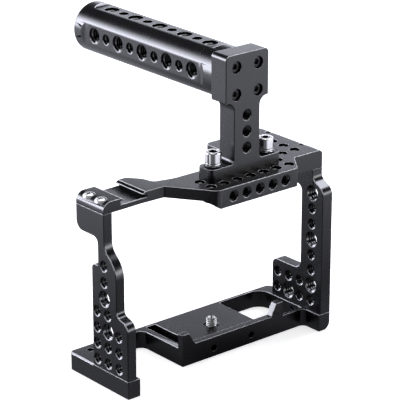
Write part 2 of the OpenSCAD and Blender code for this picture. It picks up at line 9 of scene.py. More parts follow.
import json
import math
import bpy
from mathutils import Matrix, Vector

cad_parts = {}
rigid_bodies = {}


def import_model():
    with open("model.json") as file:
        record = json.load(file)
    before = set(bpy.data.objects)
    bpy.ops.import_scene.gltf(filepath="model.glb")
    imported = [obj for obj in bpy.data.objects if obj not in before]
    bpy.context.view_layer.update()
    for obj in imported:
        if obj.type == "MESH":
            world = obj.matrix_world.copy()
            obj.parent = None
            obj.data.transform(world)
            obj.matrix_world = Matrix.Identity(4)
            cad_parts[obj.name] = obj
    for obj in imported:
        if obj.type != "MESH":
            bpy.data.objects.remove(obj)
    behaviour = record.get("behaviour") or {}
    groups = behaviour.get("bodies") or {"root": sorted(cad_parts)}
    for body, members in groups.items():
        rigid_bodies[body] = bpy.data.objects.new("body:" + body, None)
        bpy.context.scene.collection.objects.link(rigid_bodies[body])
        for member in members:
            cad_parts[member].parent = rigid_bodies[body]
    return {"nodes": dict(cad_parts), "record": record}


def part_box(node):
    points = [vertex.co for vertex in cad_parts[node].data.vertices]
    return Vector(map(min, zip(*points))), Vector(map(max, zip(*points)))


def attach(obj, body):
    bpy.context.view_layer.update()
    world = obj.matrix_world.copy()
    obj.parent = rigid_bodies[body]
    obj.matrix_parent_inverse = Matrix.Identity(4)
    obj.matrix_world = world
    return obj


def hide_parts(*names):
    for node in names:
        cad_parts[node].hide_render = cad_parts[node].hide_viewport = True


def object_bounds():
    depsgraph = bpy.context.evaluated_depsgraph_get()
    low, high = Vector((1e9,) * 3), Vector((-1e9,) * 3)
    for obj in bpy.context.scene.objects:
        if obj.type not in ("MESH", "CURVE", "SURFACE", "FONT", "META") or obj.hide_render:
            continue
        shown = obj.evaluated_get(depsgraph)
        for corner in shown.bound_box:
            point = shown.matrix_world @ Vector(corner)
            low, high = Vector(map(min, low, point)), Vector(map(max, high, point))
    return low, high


bl_info = {
    "name": "Camera Cage Finish",
    "version": (1, 0, 0),
    "blender": (4, 5, 0),
    "location": "3D View > Sidebar > Camera Cage",
    "description": "Chamfers, threads, fasteners, finishes and studio for the camera cage",
    "category": "Object",
}

from functools import partial

import bmesh
import bpy
from mathutils import Matrix, Vector

for left_over in list(bpy.data.objects):
    bpy.data.objects.remove(left_over)

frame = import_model()
CAD_BOX = [list(corner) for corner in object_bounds()]
MM = 0.001

BODY_OF = {
    node: body
    for body, nodes in frame["record"]["behaviour"]["bodies"].items()
    for node in nodes
}


# ---------- settings ----------


COLOUR = {"subtype": "COLOR", "size": 3, "min": 0.0, "max": 1.0}


class CageMetalSettings(bpy.types.PropertyGroup):
    """Black anodised aluminium."""

    colour: bpy.props.FloatVectorProperty(
        name="Anodised colour",
        description="Colour of the dyed surface",
        **COLOUR,
        default=(0.0020, 0.0020, 0.0024),
    )
    # the pale chamfer colour is a painted highlight on the upward edges
    edge_highlight_colour: bpy.props.FloatVectorProperty(
        name="Edge colour",
        description="Colour of the chamfers, where the dye is thinner",
        **COLOUR,
        default=(0.60, 0.60, 0.62),
    )
    roughness: bpy.props.FloatProperty(
        name="Roughness",
        description="Roughness of the blasted surface",
        subtype="FACTOR",
        min=0.0,
        max=1.0,
        default=0.25,
    )
    grain: bpy.props.FloatProperty(
        name="Grain size",
        description="Size of the blasting's grain, in millimetres",
        min=0.05,
        max=3.0,
        default=0.45,
    )
    chamfer: bpy.props.FloatProperty(
        name="Chamfer",
        description="Width of the broken edges, in millimetres",
        min=0.05,
        max=1.0,
        default=0.35,
    )
    mouth: bpy.props.FloatProperty(
        name="Mouth chamfer",
        description="Width of the countersink at the mouth of a threaded hole, in millimetres",
        min=0.05,
        max=1.0,
        default=0.5,
    )


class CageThreadSettings(bpy.types.PropertyGroup):
    """The two accessory threads."""

    small_diameter: bpy.props.FloatProperty(
        name="Quarter-inch diameter",
        description="Major diameter of the small thread, in millimetres",
        min=4.0,
        max=8.0,
        default=6.40,
    )
    small_pitch: bpy.props.FloatProperty(
        name="Quarter-inch pitch",
        description="Pitch of the small thread, 20 turns to the inch, in millimetres",
        min=0.5,
        max=2.0,
        default=1.27,
    )
    large_diameter: bpy.props.FloatProperty(
        name="Three-eighths diameter",
        description="Major diameter of the large thread, in millimetres",
        min=8.0,
        max=12.0,
        default=9.60,
    )
    large_pitch: bpy.props.FloatProperty(
        name="Three-eighths pitch",
        description="Pitch of the large thread, 16 turns to the inch, in millimetres",
        min=0.5,
        max=2.5,
        default=1.5875,
    )
    steps: bpy.props.IntProperty(
        name="Steps a turn",
        description="Straight pieces in one turn of a thread",
        min=8,
        max=64,
        default=24,
    )


class CageSteelSettings(bpy.types.PropertyGroup):
    """Bolts, washers and screws."""

    nickel: bpy.props.FloatVectorProperty(
        name="Nickel colour",
        description="Colour of the plated bolts and screws",
        **COLOUR,
        default=(0.94, 0.93, 0.91),
    )
    nickel_roughness: bpy.props.FloatProperty(
        name="Nickel roughness",
        description="Roughness of the plating",
        subtype="FACTOR",
        min=0.0,
        max=1.0,
        default=0.12,
    )
    oxide: bpy.props.FloatVectorProperty(
        name="Black oxide colour",
        description="Colour of the dark screws",
        **COLOUR,
        default=(0.045, 0.045, 0.048),
    )


class CageStageSettings(bpy.types.PropertyGroup):
    """Floor, lights and camera."""

    floor: bpy.props.FloatVectorProperty(
        name="Floor colour",
        description="Colour of the floor",
        **COLOUR,
        default=(0.80, 0.80, 0.80),
    )
    front_strip: bpy.props.FloatProperty(
        name="Front strip",
        description="Power of the low strip light in front and to the right, in watts",
        min=0.0,
        max=200.0,
        default=7.0,
    )
    top_light: bpy.props.FloatProperty(
        name="Top light",
        description="Power of the soft light overhead, in watts",
        min=0.0,
        max=200.0,
        default=10.0,
    )
    lens: bpy.props.FloatProperty(
        name="Lens",
        description="Focal length on a 36 mm sensor, in millimetres",
        min=20.0,
        max=400.0,
        default=192.8,
    )


SETTINGS = (CageMetalSettings, CageThreadSettings, CageSteelSettings, CageStageSettings)
SETTING_NAMES = ("cage_metal", "cage_threads", "cage_steel", "cage_stage")


# ---------- fixed measures, in millimetres and degrees ----------


SHARP_ANGLE = 28            # faces that meet at more than this get a chamfer
CHAMFER_STEPS = 3           # facets across a chamfer
SMALL_RIM = 6.0             # rims under this radius belong to holes and screws
RIM_WIDTH = 0.12            # chamfer of small rims, but for tapped mouths in upright faces
TAPPED_RADII = (3.2, 4.8)   # bores of the two threads
UNDER_WIDTH = 0.2           # chamfer of the edges round a downward face
BOLT_WIDTH = 0.18           # chamfers of the fasteners
WASHER_WIDTH = 0.14
SCREW_WIDTH = 0.12
MOUTH_SHARES = {            # how much of the mouth's chamfer each plate takes
    "base_plate": 0.6, "left_arm": 1.0, "right_arm": 0.6, "top_plate": 1.0,
}
CORNER_SHARE = 1.8          # chamfers between a front and a left face are this much wider
# chamfers facing up keep the pale colour as a painted highlight, where light from above falls
HIGHLIGHT_TILT = 0.3             # a chamfer is pale only where its normal points up more than this
# the hexagon's faces within this reach and depth are painted dark as shade
SOCKET_REACH = 3.6          # radius round the bolt's axis that holds the hexagon
SOCKET_DEEP = 6.0           # how far down the hexagon reaches
SOCKET_LIP = 0.25           # bright metal left at the hexagon's mouth
THREAD_MARGIN = 0.4         # a hole keeps this and one pitch free of turns
RIDGE_TURN = -90.0          # turns the ridge's section to stand in the wall
SCREW_HEAD = (              # camera screw: radius and height over its lowest point
    (0, 0), (6.6, 0), (7.0, 0.4), (7.0, 2.6), (6.7, 3.0), (0, 3.0),
)
PAN_HEAD = (                # radius and height over the seat, from the rim inwards
    (3.05, 0), (3.2, 0.2), (3.18, 0.8), (3.0, 1.3), (2.65, 1.72), (2.1, 2.08),
    (1.35, 2.3), (0.6, 2.39), (0, 2.4),
)
GRID = 10.0                 # spacing of the tapped holes
GRIP_SPACING = 11.57        # spacing of the holes along the grip
GRIP_FLAT = 14.1            # distance of the grip's flats from its axis
RAMP_DROP = 2.8             # how much thinner the top plate is over its ramp


# ---------- camera and surroundings: what the metal mirrors ----------
# an EDGE is the low and the high cosine between which an area fades in


COOL = (0.87, 0.885, 1.0, 1)  # tint of the mirrored surroundings
COOL_GAIN = 1.1             # makes up for what the tint takes
CAMERA_SIDE = (-0.64, -0.77, 0.0)
FAR_SIDE = (0.64, 0.77, 0.0)
REPEAT_LOSS = 0.75          # share lost in a mirror image of a mirror image
FLOOR_DEPTH = 1.5           # ray depth past which that loss sets in
SKY_DEPTH = 2.5
# the floor that the metal mirrors carries a painted shadow: these darken it near the cage and on the camera's
# side
FRONT_CORNER = (-0.09, -0.04, 0.0)  # the floor's dark side fans out from here, in metres
FLOOR_LIFT = 0.75           # light that the floor adds for the camera, so it is white
FLOOR_GAIN = 1.15
FLOOR_NEAR_EDGE = (0.6, 0.92)
FLOOR_NEAR_LOSS = 0.88      # share taken off on the camera's side
FLOOR_LEVELS = (            # metres from the camera screw, grey level
    (0.03, 0.03), (0.07, 0.19), (0.10, 0.27), (0.15, 0.17), (0.20, 0.30),
    (0.26, 0.45), (0.35, 0.62), (0.45, 0.92), (0.60, 1.0),
)
SKY_LEVELS = (              # height as a sine, grey level
    (0.0, 1.0), (0.275, 1.0), (0.30, 0.62), (0.335, 0.24), (0.42, 0.19), (0.52, 0.03), (1.0, 0.03),
)
SKY_NEAR_EDGE = (0.3, 0.75)
SKY_NEAR_LOSS = 0.95
SKY_FAR_EDGE = (0.3, 0.9)
SKY_BASE = 0.9              # gain of the sky away from the far side
WINDOW_SIDE = (-0.675, 0.738, 0.0)
WINDOW_EDGE = (0.93, 0.97)
WINDOW_STRENGTH = 11.0
WINDOW_LEVELS = (           # height as a sine, share of the strength
    (0.0, 0.9), (0.02, 1.0), (0.34, 1.0), (0.40, 0.75), (0.47, 0.32), (0.53, 0.09), (0.58, 0.02), (0.62, 0.0),
)
HIGH_WINDOW = (0.60, 0.05, 0.80)
HIGH_EDGE = (0.95, 0.985)
HIGH_STRENGTH = 9.0
CAMERA_PLACE = (-0.7684, -0.9050, 0.5266)  # metres
CAMERA_TURN = (69.4, 0.0, -40.0)           # degrees


# ---------- places of the tapped holes, in millimetres ----------


def mm_box(node):
    """Lowest and highest corner of a CAD node, in millimetres."""
    low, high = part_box(node)
    return low / MM, high / MM


def tapped_holes():
    """Each threaded mouth as (place, direction into the metal, size, depth)."""
    holes = []

    low, high = mm_box("left_arm")
    wall = high.x - low.x
    for column, row in [(c, r) for c in range(3) for r in range(4)]:
        if (column, row) != (0, 3):
            size = "large" if (column, row) == (1, 2) else "small"
            place = (low.x, low.y + 8.35 + column * GRID, low.z + 5.25 + row * GRID)
            holes.append((place, (1, 0, 0), size, wall))
    for row in range(3):
        size = "large" if row == 0 else "small"
        place = (low.x, low.y + 21.3, low.z + 44.7 + row * GRID)
        holes.append((place, (1, 0, 0), size, wall))

    low, high = mm_box("right_arm")
    wall = high.x - low.x
    for row in range(8):
        size = "large" if row in (1, 4, 7) else "small"
        place = (low.x, low.y + 9.5, low.z + 6.8 + row * GRID)
        holes.append((place, (1, 0, 0), size, wall))
    for column, row in [(c, r) for c in (1, 2, 3) for r in (0, 1)]:
        size = "large" if (column, row) == (2, 0) else "small"
        place = (low.x, low.y + 9.5 + column * GRID, low.z + 6.8 + row * GRID)
        holes.append((place, (1, 0, 0), size, wall))

    low, high = mm_box("top_plate")
    wall = high.z - low.z
    post_low, post_high = mm_box("handle_post")
    middle = (post_low.x + post_high.x) / 2
    deep = (post_low.y + post_high.y) / 2
    for i in range(-2, 3):
        holes.append(((middle + i * GRID, low.y, high.z - 5.7), (0, 1, 0), "small", 4.5))
    upright = [(i * GRID, -GRID) for i in range(-3, 4)]
    upright += [(-30, 0), (30, 0), (40, 7.1), (50, 7.1), (50, 17.1), (50, 27.1)]
    for x, y in upright:
        depth = wall - RAMP_DROP if x == -30 else wall
        holes.append(((middle + x, deep + y, high.z), (0, 0, -1), "small", depth))

    foot_top = post_low.z + 7.7
    for row in range(3):
        place = (middle, post_low.y, foot_top + 8.2 + row * GRID)
        holes.append((place, (0, 1, 0), "small", post_high.y - post_low.y))

    low, high = mm_box("handle_grip")
    axis = (low.z + high.z) / 2
    centre = (low.y + high.y) / 2
    for i in range(-4, 5):
        size, depth = ("large", 8.6) if i % 2 == 0 else ("small", 10.2)
        y = centre + i * GRIP_SPACING
        for across in ((1, 0, 0), (-1, 0, 0), (0, 0, 1), (0, 0, -1)):
            place = (middle - across[0] * GRIP_FLAT, y, axis - across[2] * GRIP_FLAT)
            holes.append((place, across, size, depth))

    low, high = mm_box("base_plate")
    holes.append(((-17.0, 0.0, low.z), (0, 0, 1), "small", 8.0))
    holes.append(((16.5, 0.0, low.z), (0, 0, 1), "large", 8.0))
    return holes


# ---------- node helpers ----------


def shader_group(name, inputs, outputs):
    """A new shader node group with the sockets given as (name, type, default)."""
    group = bpy.data.node_groups.new(name, "ShaderNodeTree")
    for label, kind, default in inputs:
        socket = group.interface.new_socket(name=label, in_out="INPUT", socket_type=kind)
        socket.default_value = default
    for label, kind in outputs:
        group.interface.new_socket(name=label, in_out="OUTPUT", socket_type=kind)
    return group


def put(tree, socket, value):
    """The input takes a link from another socket, or else a plain value."""
    if isinstance(value, bpy.types.NodeSocket):
        tree.links.new(value, socket)
    else:
        socket.default_value = value


def add(tree, kind, at=(0, 0), inputs=None, **values):
    """A new node with its properties set, and its inputs by name or number."""
    node = tree.nodes.new(kind)
    node.location = at
    for key, value in values.items():
        setattr(node, key, value)
    for key, value in (inputs or {}).items():
        put(tree, node.inputs[key], value)
    return node


def math_node(tree, operation, first, second, at=(0, 0)):
    """The result of a math node whose inputs are sockets or numbers."""
    return add(tree, "ShaderNodeMath", at, {0: first, 1: second}, operation=operation).outputs[0]


def sums(tree):
    """Times, plus and minus, each as a function that adds its math node."""
    return [partial(math_node, tree, kind) for kind in ("MULTIPLY", "ADD", "SUBTRACT")]


def all_but(tree, factor, loss):
    """1 less the share of the loss that the factor gives."""
    return math_node(tree, "SUBTRACT", 1.0, math_node(tree, "MULTIPLY", factor, loss))


def scaled(tree, vector, scale, at=(0, 0)):
    """A vector or colour times a number."""
    return add(tree, "ShaderNodeVectorMath", at, {0: vector, "Scale": scale}, operation="SCALE").outputs[0]


def blasted_grain():
    """Shader group: fine blasting grain, cloudy dye and a little bare metal."""
    found = bpy.data.node_groups.get("Blasted grain")
    if found:
        return found
    tree = shader_group(
        "Blasted grain",
        [
            ("Colour", "NodeSocketColor", (0.02, 0.02, 0.02, 1)),
            ("Bare Colour", "NodeSocketColor", (0.6, 0.6, 0.6, 1)),
            ("Roughness", "NodeSocketFloat", 0.3),
            ("Grain per Metre", "NodeSocketFloat", 2200.0),
            ("Clouding", "NodeSocketFloat", 0.3),
            ("Wear", "NodeSocketFloat", 0.0),
        ],
        [
            ("Colour", "NodeSocketColor"),
            ("Roughness", "NodeSocketFloat"),
            ("Bare", "NodeSocketFloat"),
            ("Height", "NodeSocketFloat"),
        ],
    )
    times, plus, minus = sums(tree)
    given = add(tree, "NodeGroupInput", (-900, 0)).outputs
    place = add(tree, "ShaderNodeTexCoord", (-900, -300)).outputs["Object"]
    fine = add(tree, "ShaderNodeTexNoise", (-600, -300), {
        "Vector": place, "Scale": given["Grain per Metre"], "Detail": 3.0, "Roughness": 0.6,
    }).outputs["Fac"]
    cloud = add(tree, "ShaderNodeTexNoise", (-600, -550), {
        "Vector": place, "Scale": 42.0, "Detail": 4.0,
    }).outputs["Fac"]
    scuff = add(tree, "ShaderNodeTexNoise", (-600, -800), {
        "Vector": place, "Scale": 330.0, "Detail": 5.0, "Roughness": 0.65,
    }).outputs["Fac"]

    cloudy = times(minus(cloud, 0.5, (-350, -550)), given["Clouding"], (-180, -550))
    speck = minus(fine, 0.5, (-350, -300))
    gain = plus(times(speck, 1.1, (-180, -300)), 1.0, (0, -300))
    gain = plus(gain, times(cloudy, 1.6, (0, -450)), (170, -300))
    dyed = scaled(tree, given["Colour"], gain, (170, 100))

    # bare metal where the scuff noise passes a threshold that the wear lowers
    edge = minus(0.80, times(given["Wear"], 0.4))
    bare = add(tree, "ShaderNodeMapRange", (0, -800), {
        "Value": scuff, "From Min": edge, "From Max": plus(edge, 0.08),
    }, clamp=True).outputs[0]
    mixed = add(tree, "ShaderNodeMix", (420, 100), {
        0: bare, 6: dyed, 7: given["Bare Colour"],
    }, data_type="RGBA").outputs[2]
    rough = plus(given["Roughness"], times(cloudy, 0.35))
    add(tree, "NodeGroupOutput", (900, 0), {
        "Colour": mixed, "Roughness": plus(rough, times(speck, 0.12)), "Bare": bare, "Height": fine,
    })
    return tree


def turned_steel():
    """Shader group: rings left by turning, with light smears of handling."""
    found = bpy.data.node_groups.get("Turned steel")
    if found:
        return found
    tree = shader_group(
        "Turned steel",
        [
            ("Colour", "NodeSocketColor", (0.8, 0.8, 0.8, 1)),
            ("Roughness", "NodeSocketFloat", 0.2),
            ("Ring Depth", "NodeSocketFloat", 0.5),
            ("Smear", "NodeSocketFloat", 0.15),
        ],
        [
            ("Colour", "NodeSocketColor"),
            ("Roughness", "NodeSocketFloat"),
            ("Height", "NodeSocketFloat"),
        ],
    )
    times, plus, minus = sums(tree)
    given = add(tree, "NodeGroupInput", (-900, 0)).outputs
    place = add(tree, "ShaderNodeTexCoord", (-1100, -300)).outputs["Object"]
    squeeze = add(tree, "ShaderNodeMapping", (-850, -300), {
        "Vector": place, "Scale": (160.0, 160.0, 5200.0),
    }).outputs[0]
    rings = add(tree, "ShaderNodeTexNoise", (-600, -300), {
        "Vector": squeeze, "Scale": 1.0, "Detail": 2.0,
    }).outputs["Fac"]
    smear = add(tree, "ShaderNodeTexNoise", (-600, -600), {
        "Vector": place, "Scale": 420.0, "Detail": 4.0,
    }).outputs["Fac"]
    off = times(minus(smear, 0.5), given["Smear"])
    add(tree, "NodeGroupOutput", (700, 0), {
        "Colour": scaled(tree, given["Colour"], plus(off, 1.0), (170, 100)),
        "Roughness": plus(given["Roughness"], times(off, 0.8)),
        "Height": times(rings, given["Ring Depth"]),
    })
    return tree


def material(name, group, values, bump, metallic=0.0, specular=0.5):
    """A Principled material fed by one shader group, with a bump of a strength and a depth in mm."""
    found = bpy.data.materials.get(name)
    if found:
        return found
    made = bpy.data.materials.new(name)
    made.use_nodes = True
    tree = made.node_tree
    shader = tree.nodes["Principled BSDF"]
    effect = add(tree, "ShaderNodeGroup", (-500, 0), values, node_tree=group).outputs
    strength, depth = bump
    dent = add(tree, "ShaderNodeBump", (-250, -300), {
        "Strength": strength, "Distance": depth * MM, "Height": effect["Height"],
    })
    for key, value in (
        ("Base Color", effect["Colour"]),
        ("Roughness", effect["Roughness"]),
        ("Normal", dent.outputs[0]),
        ("Metallic", effect["Bare"] if "Bare" in effect else metallic),
        ("Specular IOR Level", specular),
    ):
        put(tree, shader.inputs[key], value)
    return made


def blackened(name, colour, bare, roughness, fineness, clouding, wear, bump, specular):
    """An anodised metal, with the grey of its bare metal and how clouded and worn it is."""
    return material(name, blasted_grain(), {
        "Colour": (*colour, 1),
        "Bare Colour": (*bare, 1),
        "Roughness": roughness,
        "Grain per Metre": fineness / bpy.context.scene.cage_metal.grain,
        "Clouding": clouding,
        "Wear": wear,
    }, bump, specular=specular)


def anodised():
    """Black anodised face."""
    metal = bpy.context.scene.cage_metal
    return blackened("anodised_black", metal.colour, (0.30, 0.30, 0.31), metal.roughness,
                     1000.0, 0.30, 0.0, (0.14, 0.02), 0.8)


def anodised_highlight_edge():
    """Chamfers of the anodised pieces: a pale colour painted as a highlight, with a little real wear."""
    metal = bpy.context.scene.cage_metal
    return blackened("anodised_highlight_edge", metal.edge_highlight_colour, (0.42, 0.42, 0.43), 0.42,
                     1000.0, 0.3, 0.12, (0.1, 0.015), 0.8)


def anodised_thread():
    """Tapped turns: cut metal under the dye, so smoother and paler than a face."""
    metal = bpy.context.scene.cage_metal
    return blackened("anodised_thread", [2.5 * c for c in metal.colour], (0.45, 0.45, 0.46),
                     metal.roughness * 0.6, 1400.0, 0.4, 0.15, (0.2, 0.015), 0.9)


def plated(name, colour, roughness, ring_depth, smear, bump, metallic):
    """A turned and plated steel."""
    return material(name, turned_steel(), {
        "Colour": (*colour, 1), "Roughness": roughness, "Ring Depth": ring_depth, "Smear": smear,
    }, bump, metallic=metallic)


def nickel():
    """Bright nickel plating."""
    steel = bpy.context.scene.cage_steel
    return plated("nickel_plated", steel.nickel, steel.nickel_roughness, 0.6, 0.16, (0.18, 0.02), 1.0)


def satin_nickel():
    """Satin plating of the cross-head screws and the camera screw."""
    steel = bpy.context.scene.cage_steel
    return plated("satin_nickel", steel.nickel, 0.34, 0.4, 0.2, (0.15, 0.02), 0.55)


def black_oxide_and_shade():
    """Black oxide on small screws, clip and washer; also the painted shade in sockets, slots, thread roots,
    cross recesses and washer gaps.
    """
    steel = bpy.context.scene.cage_steel
    return plated("black_oxide_and_shade", steel.oxide, 0.34, 0.5, 0.5, (0.2, 0.02), 0.6)


# ---------- mesh helpers ----------


def link_object(name, mesh):
    """The mesh as a new object in the scene."""
    made = bpy.data.objects.new(name, mesh)
    bpy.context.scene.collection.objects.link(made)
    return made


def settle(rough, name):
    """The evaluated object as a plain mesh piece; the rough one is removed."""
    graph = bpy.context.evaluated_depsgraph_get()
    mesh = bpy.data.meshes.new_from_object(
        rough.evaluated_get(graph), preserve_all_data_layers=True, depsgraph=graph
    )
    if not mesh.polygons:
        raise RuntimeError(f"{name} came out empty")
    mesh.name = name
    bpy.data.objects.remove(rough)
    return link_object(name, mesh)


def fasten(piece, node):
    """The piece rides on the node's body and stands in for the node, which is hidden."""
    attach(piece, BODY_OF[node])
    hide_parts(node)
    return piece


def even_shading(piece):
    """Normals weighted by face size, so flats stay flat beside small chamfers."""
    weigh = piece.modifiers.new("Even shading", "WEIGHTED_NORMAL")
    weigh.mode = "FACE_AREA"
    weigh.weight = 50
    weigh.keep_sharp = False


def round_rims(sharp):
    """Sharp edges that close into lone circles, each with its radius and whether it lies level."""
    joined = {}
    for edge in sharp:
        for vert in edge.verts:
            joined.setdefault(vert, []).append(edge)
    rims, seen = {}, set()
    for start in sharp:
        chain, ahead = [], [start]
        while ahead:
            edge = ahead.pop()
            if edge not in seen:
                seen.add(edge)
                chain.append(edge)
                ahead.extend(other for vert in edge.verts for other in joined[vert])
        if len(chain) > 20:
            spots = {vert for edge in chain for vert in edge.verts}
            centre = sum((vert.co for vert in spots), Vector()) / len(spots)
            reach = [(vert.co - centre).length for vert in spots]
            if max(reach) - min(reach) < 0.02 * max(reach):
                level = all(abs(vert.co.z - centre.z) < 0.1 * MM for vert in spots)
                rims.update((edge, (max(reach), level)) for edge in chain)
    return rims


def break_edges(shape, width, mouth):
    """Bevel weights, as shares of a millimetre, on the edges that stand out."""
    weight = shape.edges.layers.float.new("bevel_weight_edge")
    sharp = [
        edge for edge in shape.edges
        if edge.is_manifold and edge.is_convex and edge.calc_face_angle() > math.radians(SHARP_ANGLE)
    ]
    rims = round_rims(sharp)
    for edge in sharp:
        normals = [face.normal for face in edge.link_faces]
        radius, level = rims.get(edge, (1.0, False))
        radius /= MM
        if radius < SMALL_RIM:
            tapped = min(abs(radius - bore) for bore in TAPPED_RADII) < 0.1
            edge[weight] = mouth if tapped and not level else RIM_WIDTH
        elif min(normal.z for normal in normals) < -0.9:
            edge[weight] = UNDER_WIDTH
        elif min(normal.x for normal in normals) < -0.9 and min(normal.y for normal in normals) < -0.5:
            edge[weight] = width * CORNER_SHARE
        else:
            edge[weight] = width


def machined(node, width, face, edge, mouth=0.1):
    """A copy of a CAD node with its sharp edges broken, in place of the node."""
    mesh = frame["nodes"][node].data.copy()
    shape = bmesh.new()
    shape.from_mesh(mesh)
    bmesh.ops.remove_doubles(shape, verts=shape.verts, dist=2e-6)
    bmesh.ops.dissolve_limit(shape, angle_limit=math.radians(0.6), verts=shape.verts, edges=shape.edges)
    bmesh.ops.triangulate(shape, faces=shape.faces, quad_method="BEAUTY", ngon_method="BEAUTY")
    break_edges(shape, width, mouth)
    for polygon in shape.faces:
        polygon.smooth = True
        polygon.material_index = 0
    shape.to_mesh(mesh)
    shape.free()
    mesh.materials.clear()
    mesh.materials.append(face)
    mesh.materials.append(edge)
    rough = link_object(node + "_rough", mesh)
    cut = rough.modifiers.new("Chamfer", "BEVEL")
    cut.width = MM
    cut.segments = CHAMFER_STEPS
    cut.limit_method = "WEIGHT"
    cut.use_clamp_overlap = False
    cut.loop_slide = False
    cut.material = 1
    even_shading(rough)
    piece = settle(rough, node + "_dressed")
    # only chamfers that face up keep the pale colour: a painted highlight, as if lit from above
    for polygon in piece.data.polygons:
        if polygon.normal.z < HIGHLIGHT_TILT:
            polygon.material_index = 0
    keep_inside(piece, node)
    return fasten(piece, node)


def keep_inside(piece, node):
    """No corner of a chamfer stands out past the node's own box."""
    low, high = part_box(node)
    for vert in piece.data.vertices:
        vert.co = [min(max(spot, least), most) for spot, least, most in zip(vert.co, low, high)]


def circle(shape, radius, height, steps):
    """A ring of vertices round Z."""
    turns = [2 * math.pi * i / steps for i in range(steps)]
    return [shape.verts.new((radius * math.cos(turn), radius * math.sin(turn), height)) for turn in turns]


def turned(profile, steps=48):
    """A closed bmesh turned about Z from (radius, height) points in millimetres."""
    shape = bmesh.new()
    rings = [
        circle(shape, radius, height, steps) if radius > 0 else [shape.verts.new((0, 0, height))]
        for radius, height in profile
    ]
    for a, b in zip(rings, rings[1:]):
        for i in range(steps):
            j = (i + 1) % steps
            corners = [a[i % len(a)], a[j % len(a)], b[j % len(b)], b[i % len(b)]]
            unique = list(dict.fromkeys(corners))
            if len(unique) > 2:
                shape.faces.new(unique)
    bmesh.ops.recalc_face_normals(shape, faces=shape.faces)
    return shape


def as_object(shape, name, materials, place=(0, 0, 0)):
    """The bmesh, in millimetres, as an object in metres with its place in its mesh."""
    shape.transform(Matrix.Scale(MM, 4) @ Matrix.Translation(Vector(place)))
    for polygon in shape.faces:
        polygon.smooth = True
    mesh = bpy.data.meshes.new(name)
    shape.to_mesh(mesh)
    shape.free()
    for each in materials:
        mesh.materials.append(each)
    return link_object(name, mesh)


def close_tube(shape, rings):
    """A lid on the first and the last of some equal rings, and sides between them."""
    shape.faces.new(list(reversed(rings[0])))
    shape.faces.new(rings[-1])
    for a, b in zip(rings, rings[1:]):
        for i in range(len(a)):
            j = (i + 1) % len(a)
            shape.faces.new([a[i], a[j], b[j], b[i]])


def tapered_bar(top, bottom, z_top, z_bottom, turn):
    """A bar from z_bottom to z_top, with its half sizes at each end, turned about Z."""
    shape = bmesh.new()
    corners = ((-1, -1), (1, -1), (1, 1), (-1, 1))
    close_tube(shape, [
        [shape.verts.new((side * x, end * y, z)) for side, end in corners]
        for (x, y), z in ((bottom, z_bottom), (top, z_top))
    ])
    swing = Matrix.Rotation(math.radians(turn), 3, "Z")
    bmesh.ops.rotate(shape, verts=shape.verts, cent=(0, 0, 0), matrix=swing)
    return shape


def cut_away(piece, cutter):
    """Takes the cutter out of the piece, then removes the cutter."""
    cut = piece.modifiers.new("Cut", "BOOLEAN")
    cut.operation = "DIFFERENCE"
    cut.solver = "EXACT"
    cut.material_mode = "TRANSFER"
    cut.object = cutter
    name = piece.name
    piece.name = name + "_uncut"
    made = settle(piece, name)
    bpy.data.objects.remove(cutter)
    return made


def join(pieces, name):
    """Several objects as one mesh object."""
    shape = bmesh.new()
    materials = []
    for piece in pieces:
        offset = []
        for slot in piece.data.materials:
            if slot not in materials:
                materials.append(slot)
            offset.append(materials.index(slot))
        start = len(shape.faces)
        shape.from_mesh(piece.data)
        shape.faces.ensure_lookup_table()
        for face in shape.faces[start:]:
            face.material_index = offset[face.material_index] if offset else 0
    mesh = bpy.data.meshes.new(name)
    shape.to_mesh(mesh)
    shape.free()
    for each in materials:
        mesh.materials.append(each)
    for piece in pieces:
        bpy.data.objects.remove(piece)
    return link_object(name, mesh)


def crisp(piece, angle=40):
    """Smooth shading with sharp breaks where faces meet at more than the angle."""
    piece.data.polygons.foreach_set("use_smooth", [True] * len(piece.data.polygons))
    piece.data.set_sharp_from_angle(angle=math.radians(angle))
    return piece


# ---------- threads ----------


